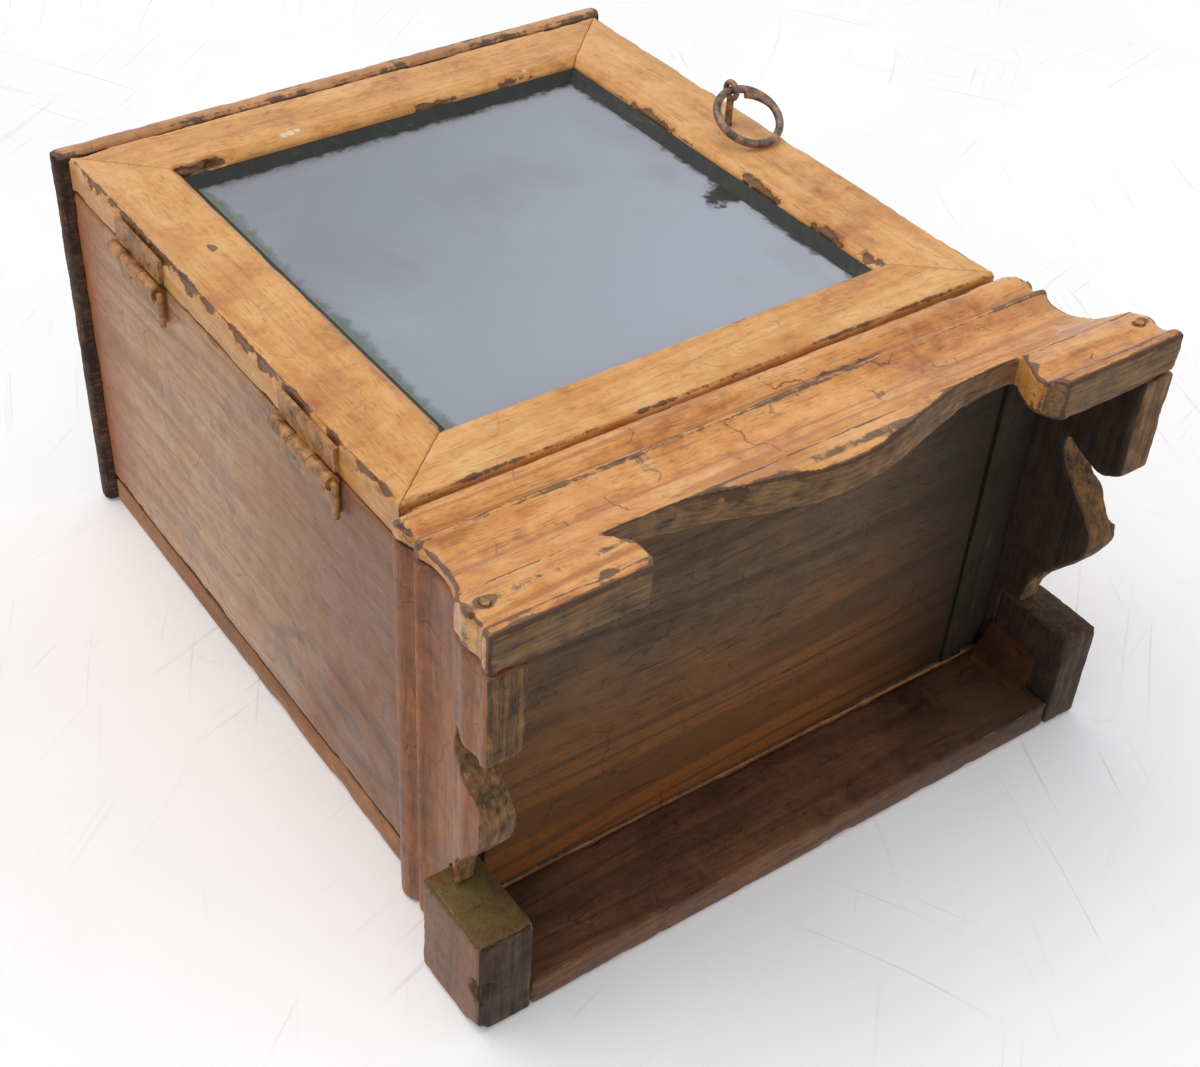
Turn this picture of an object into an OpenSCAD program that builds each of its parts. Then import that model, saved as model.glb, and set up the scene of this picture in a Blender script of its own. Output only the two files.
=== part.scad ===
// Small glazed wooden display case on a bracket-foot plinth, standing upright.
// Front (glass door) faces -Y, hinges at -X, ring pull at +X, feet on z = 0.

/* [Case] */
// Width over the two side panels
case_w = 253; // [200:1:320]
// Depth from the front of the door to the back face
case_d = 172.5; // [150:0.5:260]
// Thickness of the side panels
side_t = 12; // [9:0.5:16]
// Thickness of the nailed-on back board
back_t = 14; // [8:0.5:16]
// Thickness of the top board
top_t = 10; // [8:0.5:14]
// Overhang of the top board past each side panel
top_over = 4.5; // [2:0.5:8]
// Thickness of the floor boards
floor_t = 12; // [9:0.5:16]

/* [Door] */
// Height of the door
door_h = 252; // [200:1:320]
// Thickness of the door members
door_t = 15.2; // [14:0.1:18]
// Width of the two stiles
stile_w = 33; // [26:1:40]
// Width of the top rail
top_rail_w = 31.5; // [26:0.5:40]
// Width of the bottom rail
bottom_rail_w = 28; // [24:0.5:40]
// Depth of the glass rebate behind the door's front face
rebate_y = 8; // [7:0.1:9]
// How far the rebate reaches under the wood
rebate_w = 6; // [4:0.5:8]
// Thickness of the old window glass
glass_t = 2.6; // [2:0.1:3]

/* [Plinth] */
// Height of the moulded plinth
plinth_h = 71.5; // [60:0.5:90]
// How far the plinth stands out past the case at its foot
plinth_out = 14.5; // [12:0.5:18]
// Height of the bracket notches in the front board
front_notch_z = 24.5; // [20:0.5:30]
// Lowest point of the front board's central drop
front_drop_z = 9; // [4:0.5:16]
// Height of the bracket notches in the side boards
side_notch_z = 26; // [16:0.5:30]
// Lowest point of the side boards' central drop
side_drop_z = 3.5; // [2:0.5:12]
// Length of the two front feet along the front
front_foot_l = 60; // [45:1:75]
// Height of the floor boards' underside above the ground
recess_h = 40; // [38:0.5:50]
// Thickness of the plain back rail
rail_t = 12.5; // [10:0.5:14]
// Length of the square rear feet, front to back
rear_foot_l = 46; // [36:1:54]
// Height of the square rear feet
rear_foot_h = 36; // [30:0.5:38]

/* [Hinges and ring] */
// Height of the lower hinge's middle above the ground
low_hinge_z = 130; // [115:1:150]
// Height of the upper hinge's middle above the ground
high_hinge_z = 260; // [240:1:285]
// Length of each hinge
hinge_l = 40; // [30:1:50]
// Radius of the hinge knuckles
knuckle_r = 2.7; // [2.4:0.1:3]
// Radius of the hinge pins
hinge_pin_r = 1.3; // [1:0.1:1.5]
// Distance of the ring pull from the case's middle
ring_x = 113.8; // [105:0.1:118]
// Height of the ring pull's eye
ring_z = 213.7; // [180:0.1:240]
// Reach of the eye in front of the door
eye_reach = 14.5; // [12:0.1:16]
// Radius of the ring pull to the middle of its wire
ring_r = 13.5; // [12:0.1:15]
// Radius of the ring's wire
ring_wire_r = 1.65; // [1.2:0.05:1.7]
// Lean of the ring towards the door, in degrees
ring_lean = 27.5; // [0:0.5:27.5]

/* [Hidden] */
$fn = 48;

cw = case_w / 2;
carcass_y = door_t + 0.3;
back_y = case_d - back_t;
door_z = plinth_h + 1.5;
top_z = door_z + door_h + 0.6;
door_half = cw - 0.5;
sight_x = door_half - stile_w;
sight_lo = door_z + bottom_rail_w;
sight_hi = door_z + door_h - top_rail_w;
sill_back = carcass_y;
sill_t = 9.5;
plinth_back = sill_back - sill_t;
plinth_base = 4;
plinth_front_y = plinth_base - plinth_out;
plinth_x = cw + plinth_out;
rear_foot_y = case_d - rear_foot_l;
rear_foot_out = 1.5;
left_foot_t = 22;
right_foot_t = 17;
rail_y = case_d - rail_t;
rail_half = plinth_x + rear_foot_out - right_foot_t;
strip_x = 104;
strip_l = 78;
axis_x = -cw - knuckle_r;
axis_y = carcass_y;
leaf_t = 1.2;
leaf_case_w = 10;
leaf_door_w = 9.5;
eye_r = 3.3;
eye_wire_r = 1.2;
nail_r = 1.1;
gap = 0.05;
mid_y = (case_d - eye_reach - eye_r - eye_wire_r) / 2;
wood = "#C98A4B";
wood_side = "#A8795A";
wood_dark = "#4A3A2C";
iron = "#55504C";

// Moves the door's front plane so that the whole stands centred on the origin
module in_place() {
    translate([0, -mid_y, 0]) children();
}

// Points along an arc, from angle a0 to a1, in n steps
function arc(cx, cy, r, a0, a1, n = 8) =
    [for (i = [0:n]) let (a = a0 + (a1 - a0) * i / n) [cx + r * cos(a), cy + r * sin(a)]];

// Moulding section: x is how far it stands out, y the height above the ground
function plinth_section(back) = concat(
    [[-back, 0], [plinth_out - 0.8, 0], [plinth_out, 0.8]],
    [[plinth_out, 5], [plinth_out - 2, 6.2], [plinth_out - 2, 7.6]],
    arc(plinth_out - 6.8, 14.8, 6, -36, 38, 8),
    arc(plinth_out + 21.1, 44.7, 32.4, 224.5, 167, 10),
    [[5.6, 53], [5.6, 55.5]],
    arc(-0.9, 64.2, 7.3, -62, 76, 12),
    [[0.8, plinth_h], [-back, plinth_h]]);

// One moulded run of the plinth along +X, its face towards -Y
module moulding(len, back) {
    rotate([90, 0, 90])
        linear_extrude(height = len)
            mirror([1, 0]) polygon(plinth_section(back));
}

// The outline that all three moulded boards are cut from, moulded round both front corners
module plinth_blank() {
    intersection() {
        translate([-plinth_x - 5, plinth_base, 0]) moulding(2 * plinth_x + 10, 60);
        side_limits();
    }
}

// Solid between the two side mouldings
module side_limits() {
    rotate([90, 0, 0])
        translate([0, 0, -case_d])
            linear_extrude(height = case_d + 40)
                polygon(concat([for (p = plinth_section(cw)) [cw + p[0], p[1]]],
                    [for (i = [len(plinth_section(cw)) - 1:-1:0])
                        let (p = plinth_section(cw)[i]) [-cw - p[0], p[1]]]));
}

// Outline below a bracketed board: two rounded feet and a double-curved central drop
// peak is where along the curve the drop is lowest, from 0 to 1
function drop_curve(x0, x1, notch, drop, peak = 0.5, n = 28) =
    [for (i = [0:n])
        let (s = i / n,
            turn = s < peak ? s / peak / 2 : 1 - (1 - s) / (1 - peak) / 2,
            k = pow((1 - cos(360 * turn)) / 2, 1.3))
        [x0 + (x1 - x0) * s, notch - (notch - drop) * k]];

function foot_end(x, notch, dir) =
    [[x - dir * 4, -1], [x - dir * 1.5, 3], [x + dir * 0.8, 7], [x + dir * 1, 10.5],
        [x, 13.5], [x - dir * 2.2, notch - 6.5], [x - dir * 4.5, notch - 2.5]];

function reversed(v) = [for (i = [len(v) - 1:-1:0]) v[i]];

// Area removed below the front board, between two feet whose ends are at x0 and x1
module front_bracket(x0, x1) {
    polygon(concat(
        foot_end(x0, front_notch_z, 1),
        drop_curve(x0 - 6.5, x1 + 6.5, front_notch_z, front_drop_z),
        reversed(foot_end(x1, front_notch_z, -1))));
}

// Area removed below a side board, from its front foot back to the square rear foot
module side_bracket(y0, peak) {
    polygon(concat(
        foot_end(y0, side_notch_z, 1),
        drop_curve(y0 - 6.5, rear_foot_y, side_notch_z, side_drop_z, peak),
        [[rear_foot_y + 1, side_notch_z], [rear_foot_y + 1, -1]]));
}

// Rounded front edge of the top board: x runs inwards from the edge, y upwards
function nosing(depth) = concat(
    arc(3.5, 3.5, 3.5, 270, 180, 6),
    arc(4, top_t - 4, 4, 180, 90, 6),
    [[depth, top_t], [depth, 0]]);

module top_board() {
    top_half = cw + top_over;
    color(wood_dark) in_place()
        intersection() {
            translate([-top_half, -0.5, top_z])
                rotate([90, 0, 90])
                    linear_extrude(height = 2 * top_half) polygon(nosing(case_d + 0.5));
            union() {
                for (side = [0, 1])
                    mirror([side, 0, 0]) translate([-top_half, case_d, top_z])
                        rotate([90, 0, 0])
                            linear_extrude(height = case_d + 1) polygon(nosing(top_half));
            }
        }
}

// A side panel stands from the recess up to the top board
module side_panel(x) {
    translate([x, carcass_y, recess_h])
        cube([side_t, back_y - carcass_y, top_z - recess_h]);
}

module side_panel_left() {
    color(wood_side) in_place() side_panel(-cw);
}

module side_panel_right() {
    color(wood_side) in_place() side_panel(cw - side_t);
}

// Places of the nails that hold the back board, on its outer face
back_nail_at = concat(
    [for (x = [-cw + side_t / 2, cw - side_t / 2], z = [70, 150, 230, 310]) [x, z]],
    [for (x = [-60, 0, 60]) [x, recess_h + floor_t / 2]]);

module back_board() {
    color(wood_side) in_place()
        difference() {
            translate([-cw, back_y, recess_h]) cube([case_w, back_t, top_z - recess_h]);
            for (p = back_nail_at)
                translate([p[0], back_y - 1, p[1]]) rotate([-90, 0, 0]) cylinder(r = nail_r, h = back_t + 2);
            for (p = back_nail_at)
                translate([p[0], case_d - 1.2, p[1]]) rotate([-90, 0, 0]) cylinder(r = 2.6, h = 2);
        }
}

// Nails with round heads let in flush with the back
module back_nails() {
    color(iron) in_place()
        for (p = back_nail_at)
            translate([p[0], back_y, p[1]]) rotate([-90, 0, 0]) {
                cylinder(r = nail_r - gap, h = back_t - 1);
                translate([0, 0, back_t - 1.2]) cylinder(r = 2.6 - gap, h = 1.1);
            }
}

module floor_board() {
    color(wood_dark) in_place()
        translate([-cw + side_t, carcass_y, recess_h])
            cube([cw - side_t + strip_x, back_y - carcass_y, floor_t]);
}

module floor_strip_front() {
    color(wood_dark) in_place()
        translate([strip_x + 0.4, carcass_y, recess_h - 1])
            cube([cw - side_t - strip_x - 0.4, strip_l, floor_t + 1]);
}

// Shorter second strip that carries on behind the first
module floor_strip_rear() {
    color(wood_dark) in_place()
        translate([strip_x + 0.4, carcass_y + strip_l + 0.4, recess_h - 0.6])
            cube([cw - side_t - strip_x - 0.4, back_y - carcass_y - strip_l - 0.4, floor_t + 0.6]);
}

// Three-sided block glued into the corner between the back rail and the right rear foot
module foot_block() {
    color(wood_side) in_place()
        translate([rail_half, rail_y, 12])
            linear_extrude(height = rear_foot_h - 12) polygon([[0, 0], [-9, 0], [0, -17]]);
}

// Closes the case below the door and carries the plinth's front board
module front_sill() {
    color(wood_dark) in_place()
        translate([-cw, plinth_back, recess_h])
            cube([case_w, sill_t, plinth_h - recess_h]);
}

plinth_nail_x = [-133, 133];
plinth_nail_z = 14.5;
plinth_nail_y = plinth_front_y + 1.2;

module plinth_front() {
    color(wood) in_place()
        difference() {
            intersection() {
                plinth_blank();
                translate([-200, -50, -1]) cube([400, 50 + plinth_back, plinth_h + 2]);
            }
            translate([0, 60, 0]) rotate([90, 0, 0]) linear_extrude(height = 120)
                front_bracket(-plinth_x + front_foot_l, plinth_x - front_foot_l);
            for (x = plinth_nail_x)
                translate([x, -30, plinth_nail_z]) rotate([-90, 0, 0]) cylinder(r = 1.6, h = 60);
        }
}

module plinth_nails() {
    color(iron) in_place()
        for (x = plinth_nail_x)
            translate([x, plinth_nail_y, plinth_nail_z]) rotate([-90, 0, 0])
                cylinder(r = 1.6 - gap, h = plinth_back - plinth_nail_y);
}

// A side board: moulded outside, bracketed below, cut back for the square rear foot
module plinth_side(dir, foot_y, peak) {
    difference() {
        intersection() {
            side_limits();
            translate([dir > 0 ? cw : -plinth_x - 1, plinth_back, -1])
                cube([plinth_out + 1, case_d - plinth_back, plinth_h + 2]);
        }
        translate([dir * (cw - 1), 0, 0]) rotate([90, 0, 90 * dir]) linear_extrude(height = 40)
            mirror([dir > 0 ? 0 : 1, 0])
                side_bracket(foot_y, peak);
        translate([dir > 0 ? cw - 1 : -cw - 39, rear_foot_y, -1])
            cube([40, 100, rear_foot_h + 1]);
    }
}

module plinth_side_left() {
    color(wood_side) in_place() plinth_side(-1, 46, 0.42);
}

module plinth_side_right() {
    color(wood_side) in_place() plinth_side(1, 50, 0.46);
}

// Square rear foot, a separate thicker block
module rear_foot(x, t) {
    translate([x, rear_foot_y, 0]) cube([t, rear_foot_l, rear_foot_h]);
}

module rear_foot_left() {
    color(wood_dark) in_place() rear_foot(-plinth_x - rear_foot_out, left_foot_t);
}

module rear_foot_right() {
    color(wood_dark) in_place() rear_foot(rail_half, right_foot_t);
}

module back_rail() {
    left_end = -plinth_x - rear_foot_out + left_foot_t;
    color(wood_dark) in_place()
        translate([left_end, rail_y, 0.6])
            cube([rail_half - left_end, rail_t, recess_h - 0.6]);
}

// Section of a door member: x from its outer edge inwards, y from the front backwards
function member_section(w) = concat(
    arc(1.5, 1.5, 1.5, 180, 270, 4),
    [[w - 3.5, 0], [w, 2.8], [w, rebate_y], [w - rebate_w, rebate_y], [w - rebate_w, door_t], [0, door_t]]);

// An upright door member, its outer edge on x = 0, grown inwards along +X
module stile_bar(w) {
    translate([0, 0, door_z])
        linear_extrude(height = door_h) polygon(member_section(w));
}

// A level door member, its outer edge on z = 0, grown upwards
module rail_bar(w) {
    translate([-door_half, 0, 0])
        rotate([90, 0, 90])
            linear_extrude(height = 2 * door_half)
                polygon([for (p = member_section(w)) [p[1], p[0]]]);
}

// Mitre prisms in front view, from the corners of the door to the corners of the sight
module mitre(points) {
    translate([0, door_t + 1, 0]) rotate([90, 0, 0]) linear_extrude(height = door_t + 2) polygon(points);
}

door_corner = [[-door_half, door_z], [door_half, door_z],
    [door_half, door_z + door_h], [-door_half, door_z + door_h]];
sight_corner = [[-sight_x, sight_lo], [sight_x, sight_lo], [sight_x, sight_hi], [-sight_x, sight_hi]];

module door_top_rail() {
    color(wood) in_place()
        intersection() {
            translate([0, 0, door_z + door_h]) mirror([0, 0, 1]) rail_bar(top_rail_w);
            mitre([door_corner[3], door_corner[2], sight_corner[2], sight_corner[3]]);
        }
}

module door_bottom_rail() {
    color(wood) in_place()
        intersection() {
            translate([0, 0, door_z]) rail_bar(bottom_rail_w);
            mitre([door_corner[0], door_corner[1], sight_corner[1], sight_corner[0]]);
        }
}

module door_hinge_stile() {
    color(wood) in_place()
        intersection() {
            translate([-door_half, 0, 0]) stile_bar(stile_w);
            mitre([door_corner[0], sight_corner[0], sight_corner[3], door_corner[3]]);
        }
}

module door_closing_stile() {
    color(wood) in_place()
        difference() {
            intersection() {
                translate([door_half, 0, 0]) mirror([1, 0, 0]) stile_bar(stile_w);
                mitre([door_corner[1], sight_corner[1], sight_corner[2], door_corner[2]]);
            }
            translate([ring_x, -1, ring_z]) rotate([-90, 0, 0]) cylinder(r = 1.6, h = door_t + 2);
        }
}

module glass_pane() {
    inset = rebate_w - 0.5;
    color("#9A9DA8") in_place()
        translate([-sight_x - inset, rebate_y, sight_lo - inset])
            cube([2 * (sight_x + inset), glass_t, sight_hi - sight_lo + 2 * inset]);
}

// Dark putty fillet along the front of the glass, mitred at the corners
module glazing_putty() {
    section = [[0, 0], [4.5, 0], [0, 4]];
    color("#23281F") in_place()
        intersection() {
            union() {
                for (side = [-1, 1])
                    translate([side * sight_x, rebate_y, sight_lo])
                        linear_extrude(height = sight_hi - sight_lo)
                            polygon([for (p = section) [-side * p[0], -p[1]]]);
                for (end = [0, 1])
                    translate([-sight_x, rebate_y, end == 0 ? sight_lo : sight_hi])
                        rotate([90, 0, 90])
                            linear_extrude(height = 2 * sight_x)
                                polygon([for (p = section) [-p[1], (end == 0 ? 1 : -1) * p[0]]]);
            }
            translate([-sight_x, 0, sight_lo]) cube([2 * sight_x, door_t, sight_hi - sight_lo]);
        }
}

// Thin strips pinned in behind the glass
module glazing_beads() {
    y = rebate_y + glass_t + 0.1;
    x = sight_x + rebate_w - 0.5;
    color(wood_side) in_place()
        difference() {
            translate([-x, y, sight_lo - rebate_w + 0.5])
                cube([2 * x, door_t - y - 0.4, sight_hi - sight_lo + 2 * rebate_w - 1]);
            translate([-sight_x, y - 1, sight_lo]) cube([2 * sight_x, door_t, sight_hi - sight_lo]);
        }
}

bead_pin_at = [for (side = [-1, 1], k = [0.2, 0.5, 0.8])
    [side * (sight_x + rebate_w / 2), sight_lo + k * (sight_hi - sight_lo)]];

module bead_pins() {
    color(iron) in_place()
        for (p = bead_pin_at)
            translate([p[0], door_t - 0.4, p[1]]) rotate([-90, 0, 0]) cylinder(r = 0.9, h = 0.3);
}

// Small wooden block behind the glass on the closing side
module door_latch_block() {
    color(wood_dark) in_place()
        translate([sight_x - 13, rebate_y + glass_t + 0.2, 171])
            cube([13, 4, 23]);
}

// The three knuckles share one axis: the case leaf has the outer two
module knuckle(z0, z1) {
    translate([axis_x, axis_y, z0])
        difference() {
            cylinder(r = knuckle_r, h = z1 - z0);
            translate([0, 0, -1]) cylinder(r = hinge_pin_r + gap, h = z1 - z0 + 2);
        }
}

nail_step = hinge_l / 4;
// Both leaves start this far from the axis, clear of the other leaf's knuckles
leaf_start = knuckle_r + 0.4;

module leaf_case(z) {
    color(iron) in_place()
        difference() {
            union() {
                translate([-cw - leaf_t, axis_y + leaf_start, z - hinge_l / 2])
                    cube([leaf_t, leaf_case_w, hinge_l]);
                for (span = [[-1 / 2, -1 / 6], [1 / 6, 1 / 2]]) {
                    z0 = z + span[0] * hinge_l + (span[0] > 0 ? 0.2 : 0);
                    z1 = z + span[1] * hinge_l - (span[1] < 0 ? 0.2 : 0);
                    knuckle(z0, z1);
                    translate([-cw - leaf_t, axis_y, z0]) cube([leaf_t, leaf_start + 1, z1 - z0]);
                }
            }
            for (s = [-1, 1])
                translate([-cw - 5, axis_y + 8.5, z + s * nail_step]) rotate([0, 90, 0]) cylinder(r = 0.9, h = 10);
        }
}

module leaf_door(z) {
    color(iron) in_place()
        difference() {
            union() {
                translate([-cw - leaf_t, axis_y - leaf_start - leaf_door_w, z - hinge_l / 2 + 1])
                    cube([leaf_t + cw - door_half, leaf_door_w, hinge_l - 2]);
                translate([-cw - leaf_t, axis_y - leaf_start - 1, z - hinge_l / 6 + 0.1])
                    cube([leaf_t, leaf_start + 1, hinge_l / 3 - 0.2]);
                knuckle(z - hinge_l / 6 + 0.1, z + hinge_l / 6 - 0.1);
            }
            for (s = [-1, 1])
                translate([-cw - 5, axis_y - 8.5, z + s * nail_step]) rotate([0, 90, 0]) cylinder(r = 0.9, h = 10);
        }
}

// Loose pin whose lower end is bent back along the side panel
module hinge_pin(z) {
    color(iron) in_place()
        translate([axis_x, axis_y, z]) {
            translate([0, 0, -hinge_l / 2 - 1.6]) cylinder(r = hinge_pin_r, h = hinge_l + 2.4);
            translate([0, 0, -hinge_l / 2 - 1.6]) sphere(r = hinge_pin_r);
            translate([0, 0, -hinge_l / 2 - 1.6]) rotate([-90, 0, 0]) cylinder(r = hinge_pin_r, h = 13);
            translate([0, 0, hinge_l / 2 + 0.1]) cylinder(r = 2, h = 1);
        }
}

module hinge_leaf_case_upper() { leaf_case(high_hinge_z); }
module hinge_leaf_case_lower() { leaf_case(low_hinge_z); }
module hinge_leaf_door_upper() { leaf_door(high_hinge_z); }
module hinge_leaf_door_lower() { leaf_door(low_hinge_z); }
module hinge_pin_upper() { hinge_pin(high_hinge_z); }
module hinge_pin_lower() { hinge_pin(low_hinge_z); }

module hinge_nails(y, base) {
    color(iron) in_place()
        for (z = [low_hinge_z, high_hinge_z], s = [-1, 1])
            translate([-cw - leaf_t - 0.7, y, z + s * nail_step]) rotate([0, 90, 0]) {
                cylinder(r = 1.9, h = 0.7);
                cylinder(r = 0.9 - gap, h = 0.7 + leaf_t + base);
            }
}

module hinge_nails_case() { hinge_nails(axis_y + 8.5, 0); }
module hinge_nails_door() { hinge_nails(axis_y - 8.5, cw - door_half); }

// Iron eye: a loop across the ring's wire, on a split stem through the stile
module ring_eye() {
    color(iron) in_place()
        translate([ring_x, 0, ring_z]) {
            translate([0, -eye_reach, 0]) rotate([0, 90, 0])
                rotate_extrude() translate([eye_r, 0]) circle(r = eye_wire_r);
            translate([0, -eye_reach + eye_r + 0.4, 0]) rotate([-90, 0, 0])
                cylinder(r = 1.55, h = eye_reach - eye_r - 0.4 + door_t);
        }
}

// Bent from one length of wire: a full turn, and an end that runs on inside it
module ring_pull() {
    color(iron) in_place()
        translate([ring_x, -eye_reach, ring_z]) rotate([ring_lean, 0, 0])
            translate([0, 0, -ring_r]) rotate([90, 0, 0]) {
                rotate_extrude() translate([ring_r, 0]) circle(r = ring_wire_r);
                translate([ring_r, 0, 0]) rotate([0, 0, 14]) translate([-ring_r, 0, 0])
                    rotate_extrude(angle = 58) translate([ring_r, 0]) circle(r = ring_wire_r - 0.3);
            }
}

top_board();
side_panel_left();
side_panel_right();
back_board();
floor_board();
floor_strip_front();
floor_strip_rear();
front_sill();
plinth_front();
plinth_side_left();
plinth_side_right();
rear_foot_left();
rear_foot_right();
back_rail();
foot_block();
back_nails();
plinth_nails();
door_top_rail();
door_bottom_rail();
door_hinge_stile();
door_closing_stile();
glass_pane();
glazing_putty();
glazing_beads();
bead_pins();
door_latch_block();
hinge_leaf_case_upper();
hinge_leaf_case_lower();
hinge_leaf_door_upper();
hinge_leaf_door_lower();
hinge_pin_upper();
hinge_pin_lower();
hinge_nails_case();
hinge_nails_door();
ring_eye();
ring_pull();
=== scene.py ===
import math
from functools import partial
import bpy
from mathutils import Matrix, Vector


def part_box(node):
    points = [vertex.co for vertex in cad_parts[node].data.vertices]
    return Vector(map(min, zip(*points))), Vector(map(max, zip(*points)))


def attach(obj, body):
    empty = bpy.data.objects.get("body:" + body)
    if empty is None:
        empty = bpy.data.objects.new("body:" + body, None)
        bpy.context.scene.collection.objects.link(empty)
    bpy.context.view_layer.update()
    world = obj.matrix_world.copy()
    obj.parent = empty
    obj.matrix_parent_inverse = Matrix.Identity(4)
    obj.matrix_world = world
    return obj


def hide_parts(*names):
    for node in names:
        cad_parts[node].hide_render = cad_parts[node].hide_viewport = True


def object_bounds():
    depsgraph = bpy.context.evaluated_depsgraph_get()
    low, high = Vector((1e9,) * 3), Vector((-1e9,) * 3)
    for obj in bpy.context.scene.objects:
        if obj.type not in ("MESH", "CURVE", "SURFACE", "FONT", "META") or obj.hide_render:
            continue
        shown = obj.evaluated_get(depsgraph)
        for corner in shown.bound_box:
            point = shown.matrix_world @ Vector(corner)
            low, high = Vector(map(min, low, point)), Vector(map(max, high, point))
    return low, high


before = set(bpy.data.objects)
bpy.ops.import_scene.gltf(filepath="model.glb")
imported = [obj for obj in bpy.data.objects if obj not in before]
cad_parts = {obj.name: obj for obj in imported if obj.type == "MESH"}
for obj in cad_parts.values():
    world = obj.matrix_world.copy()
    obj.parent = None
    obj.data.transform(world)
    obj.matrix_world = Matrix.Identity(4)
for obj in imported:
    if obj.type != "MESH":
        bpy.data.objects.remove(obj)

from types import SimpleNamespace

import bpy
import numpy as np
from mathutils import Matrix, Vector, noise

cad_lo, cad_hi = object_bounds()
MM = 0.001
# The hinge stile's corners in mm give the door's left edge, foot, top and front plane
DOOR_LOW, DOOR_HIGH = (np.array(corner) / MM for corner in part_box("door_hinge_stile"))
DOOR_HALF = -DOOR_LOW[0]
DOOR_Y = round(DOOR_LOW[1], 2)

# Camera, fitted to the photograph: the case lies on its back and is seen past its plinth
EYE = Vector((-338.9, -426.95, -297.0)) * MM
cam_data = bpy.data.cameras.new("camera")
camera = bpy.data.objects.new("camera", cam_data)
bpy.context.scene.collection.objects.link(camera)
cam_data.sensor_width = 36
cam_data.lens = 54.57
cam_data.shift_x = 0.0667
cam_data.clip_start = 0.02
right = Vector((0.8321, -0.0249, -0.5541)).normalized()
forward = Vector((0.4364, 0.6460, 0.6263))
forward = (forward - right * forward.dot(right)).normalized()
up = right.cross(forward)
camera.matrix_world = Matrix((
    (right.x, up.x, -forward.x, EYE.x),
    (right.y, up.y, -forward.y, EYE.y),
    (right.z, up.z, -forward.z, EYE.z),
    (0, 0, 0, 1)))
scene = bpy.context.scene
scene.camera = camera
scene.view_settings.view_transform = "Standard"


# Node trees
def srgb(code):
    """Linear colour from an sRGB hex code."""
    parts = [int(code[i:i + 2], 16) / 255 for i in (1, 3, 5)]
    return [c / 12.92 if c <= 0.04045 else ((c + 0.055) / 1.055) ** 2.4 for c in parts] + [1.0]


def add_node(tree, kind, *inputs, out=0, **settings):
    """Add one node and return its output out.

    inputs fill the open sockets in order. Settings in lower case are properties, the others are sockets."""
    whole = kind.startswith(("Geometry", "Function", "NodeGroup"))
    node = tree.nodes.new(kind if whole else "ShaderNode" + kind)
    for key in settings:
        if key[0].islower():
            setattr(node, key, settings[key])
    filled = list(zip([socket for socket in node.inputs if socket.enabled], inputs))
    filled += [(node.inputs[key.replace("_", " ")], settings[key]) for key in settings if key[0].isupper()]
    for socket, value in filled:
        if isinstance(value, bpy.types.NodeSocket):
            tree.links.new(value, socket)
        else:
            socket.default_value = value
    if not node.outputs:
        return None
    return node.outputs[out] if isinstance(out, str) else [s for s in node.outputs if s.enabled][out]


TIMES = {"operation": "MULTIPLY", "use_clamp": True}
PLUS = {"operation": "ADD", "use_clamp": True}
LESS = {"operation": "SUBTRACT", "use_clamp": True}
MOST = {"operation": "MAXIMUM", "use_clamp": True}
SMOOTH = {"interpolation_type": "SMOOTHSTEP"}
COLOUR = {"data_type": "RGBA"}


def new_finish(name):
    """An empty material, a function that adds nodes to it, and its coordinates in metres."""
    material = bpy.data.materials.new(name)
    material.use_nodes = True
    material.node_tree.nodes.clear()
    add = partial(add_node, material.node_tree)
    return material, add, add("TexCoord", out="Object")


def cloud(add, coord, wide, long=None, axis="Z", detail=5.0, rough=0.6, warp=0.4, shift=(0, 0, 0)):
    """Soft patches of a real size: wide mm across and long mm along the grain's axis."""
    size = [1000 / wide] * 3
    if long:
        size["XYZ".index(axis)] = 1000 / long
    place = add("Mapping", coord, Location=shift, Scale=size)
    return add("TexNoise", place, Scale=1.0, Detail=detail, Roughness=rough, Distortion=warp)


def three_tones(add, value, marks, colours):
    """Dark, middle and light blended at three marks of a pattern."""
    low, middle, high = marks
    first = add("Mix", add("MapRange", value, low, middle), colours[0], colours[1], **COLOUR)
    return add("Mix", add("MapRange", value, middle, high), first, colours[2], **COLOUR)


# Finishes
def board_grain(add, coord, axis, shift):
    """The patterns that several layers of one board share."""
    place = (shift, shift * 0.7, -shift * 1.3)
    pattern = partial(cloud, add, coord, axis=axis, shift=place)
    return SimpleNamespace(
        pattern=pattern,
        place=place,
        aside=(shift + 7, shift * 0.7, -shift * 1.3),
        drift=pattern(38),
        mottle=pattern(8.3, rough=0.66, warp=0.6),
        ragged=pattern(5.3, rough=0.7, warp=0.3),
        # Fibres are drawn twice as wide as real ones so that they show
        fibres=pattern(1.6, 27, detail=6, rough=0.62, warp=0.3),
        pores=add("MapRange", pattern(0.67, 7.2, detail=3, warp=0.2), 0.56, 0.7, 0.0, 0.38, **SMOOTH))


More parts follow.
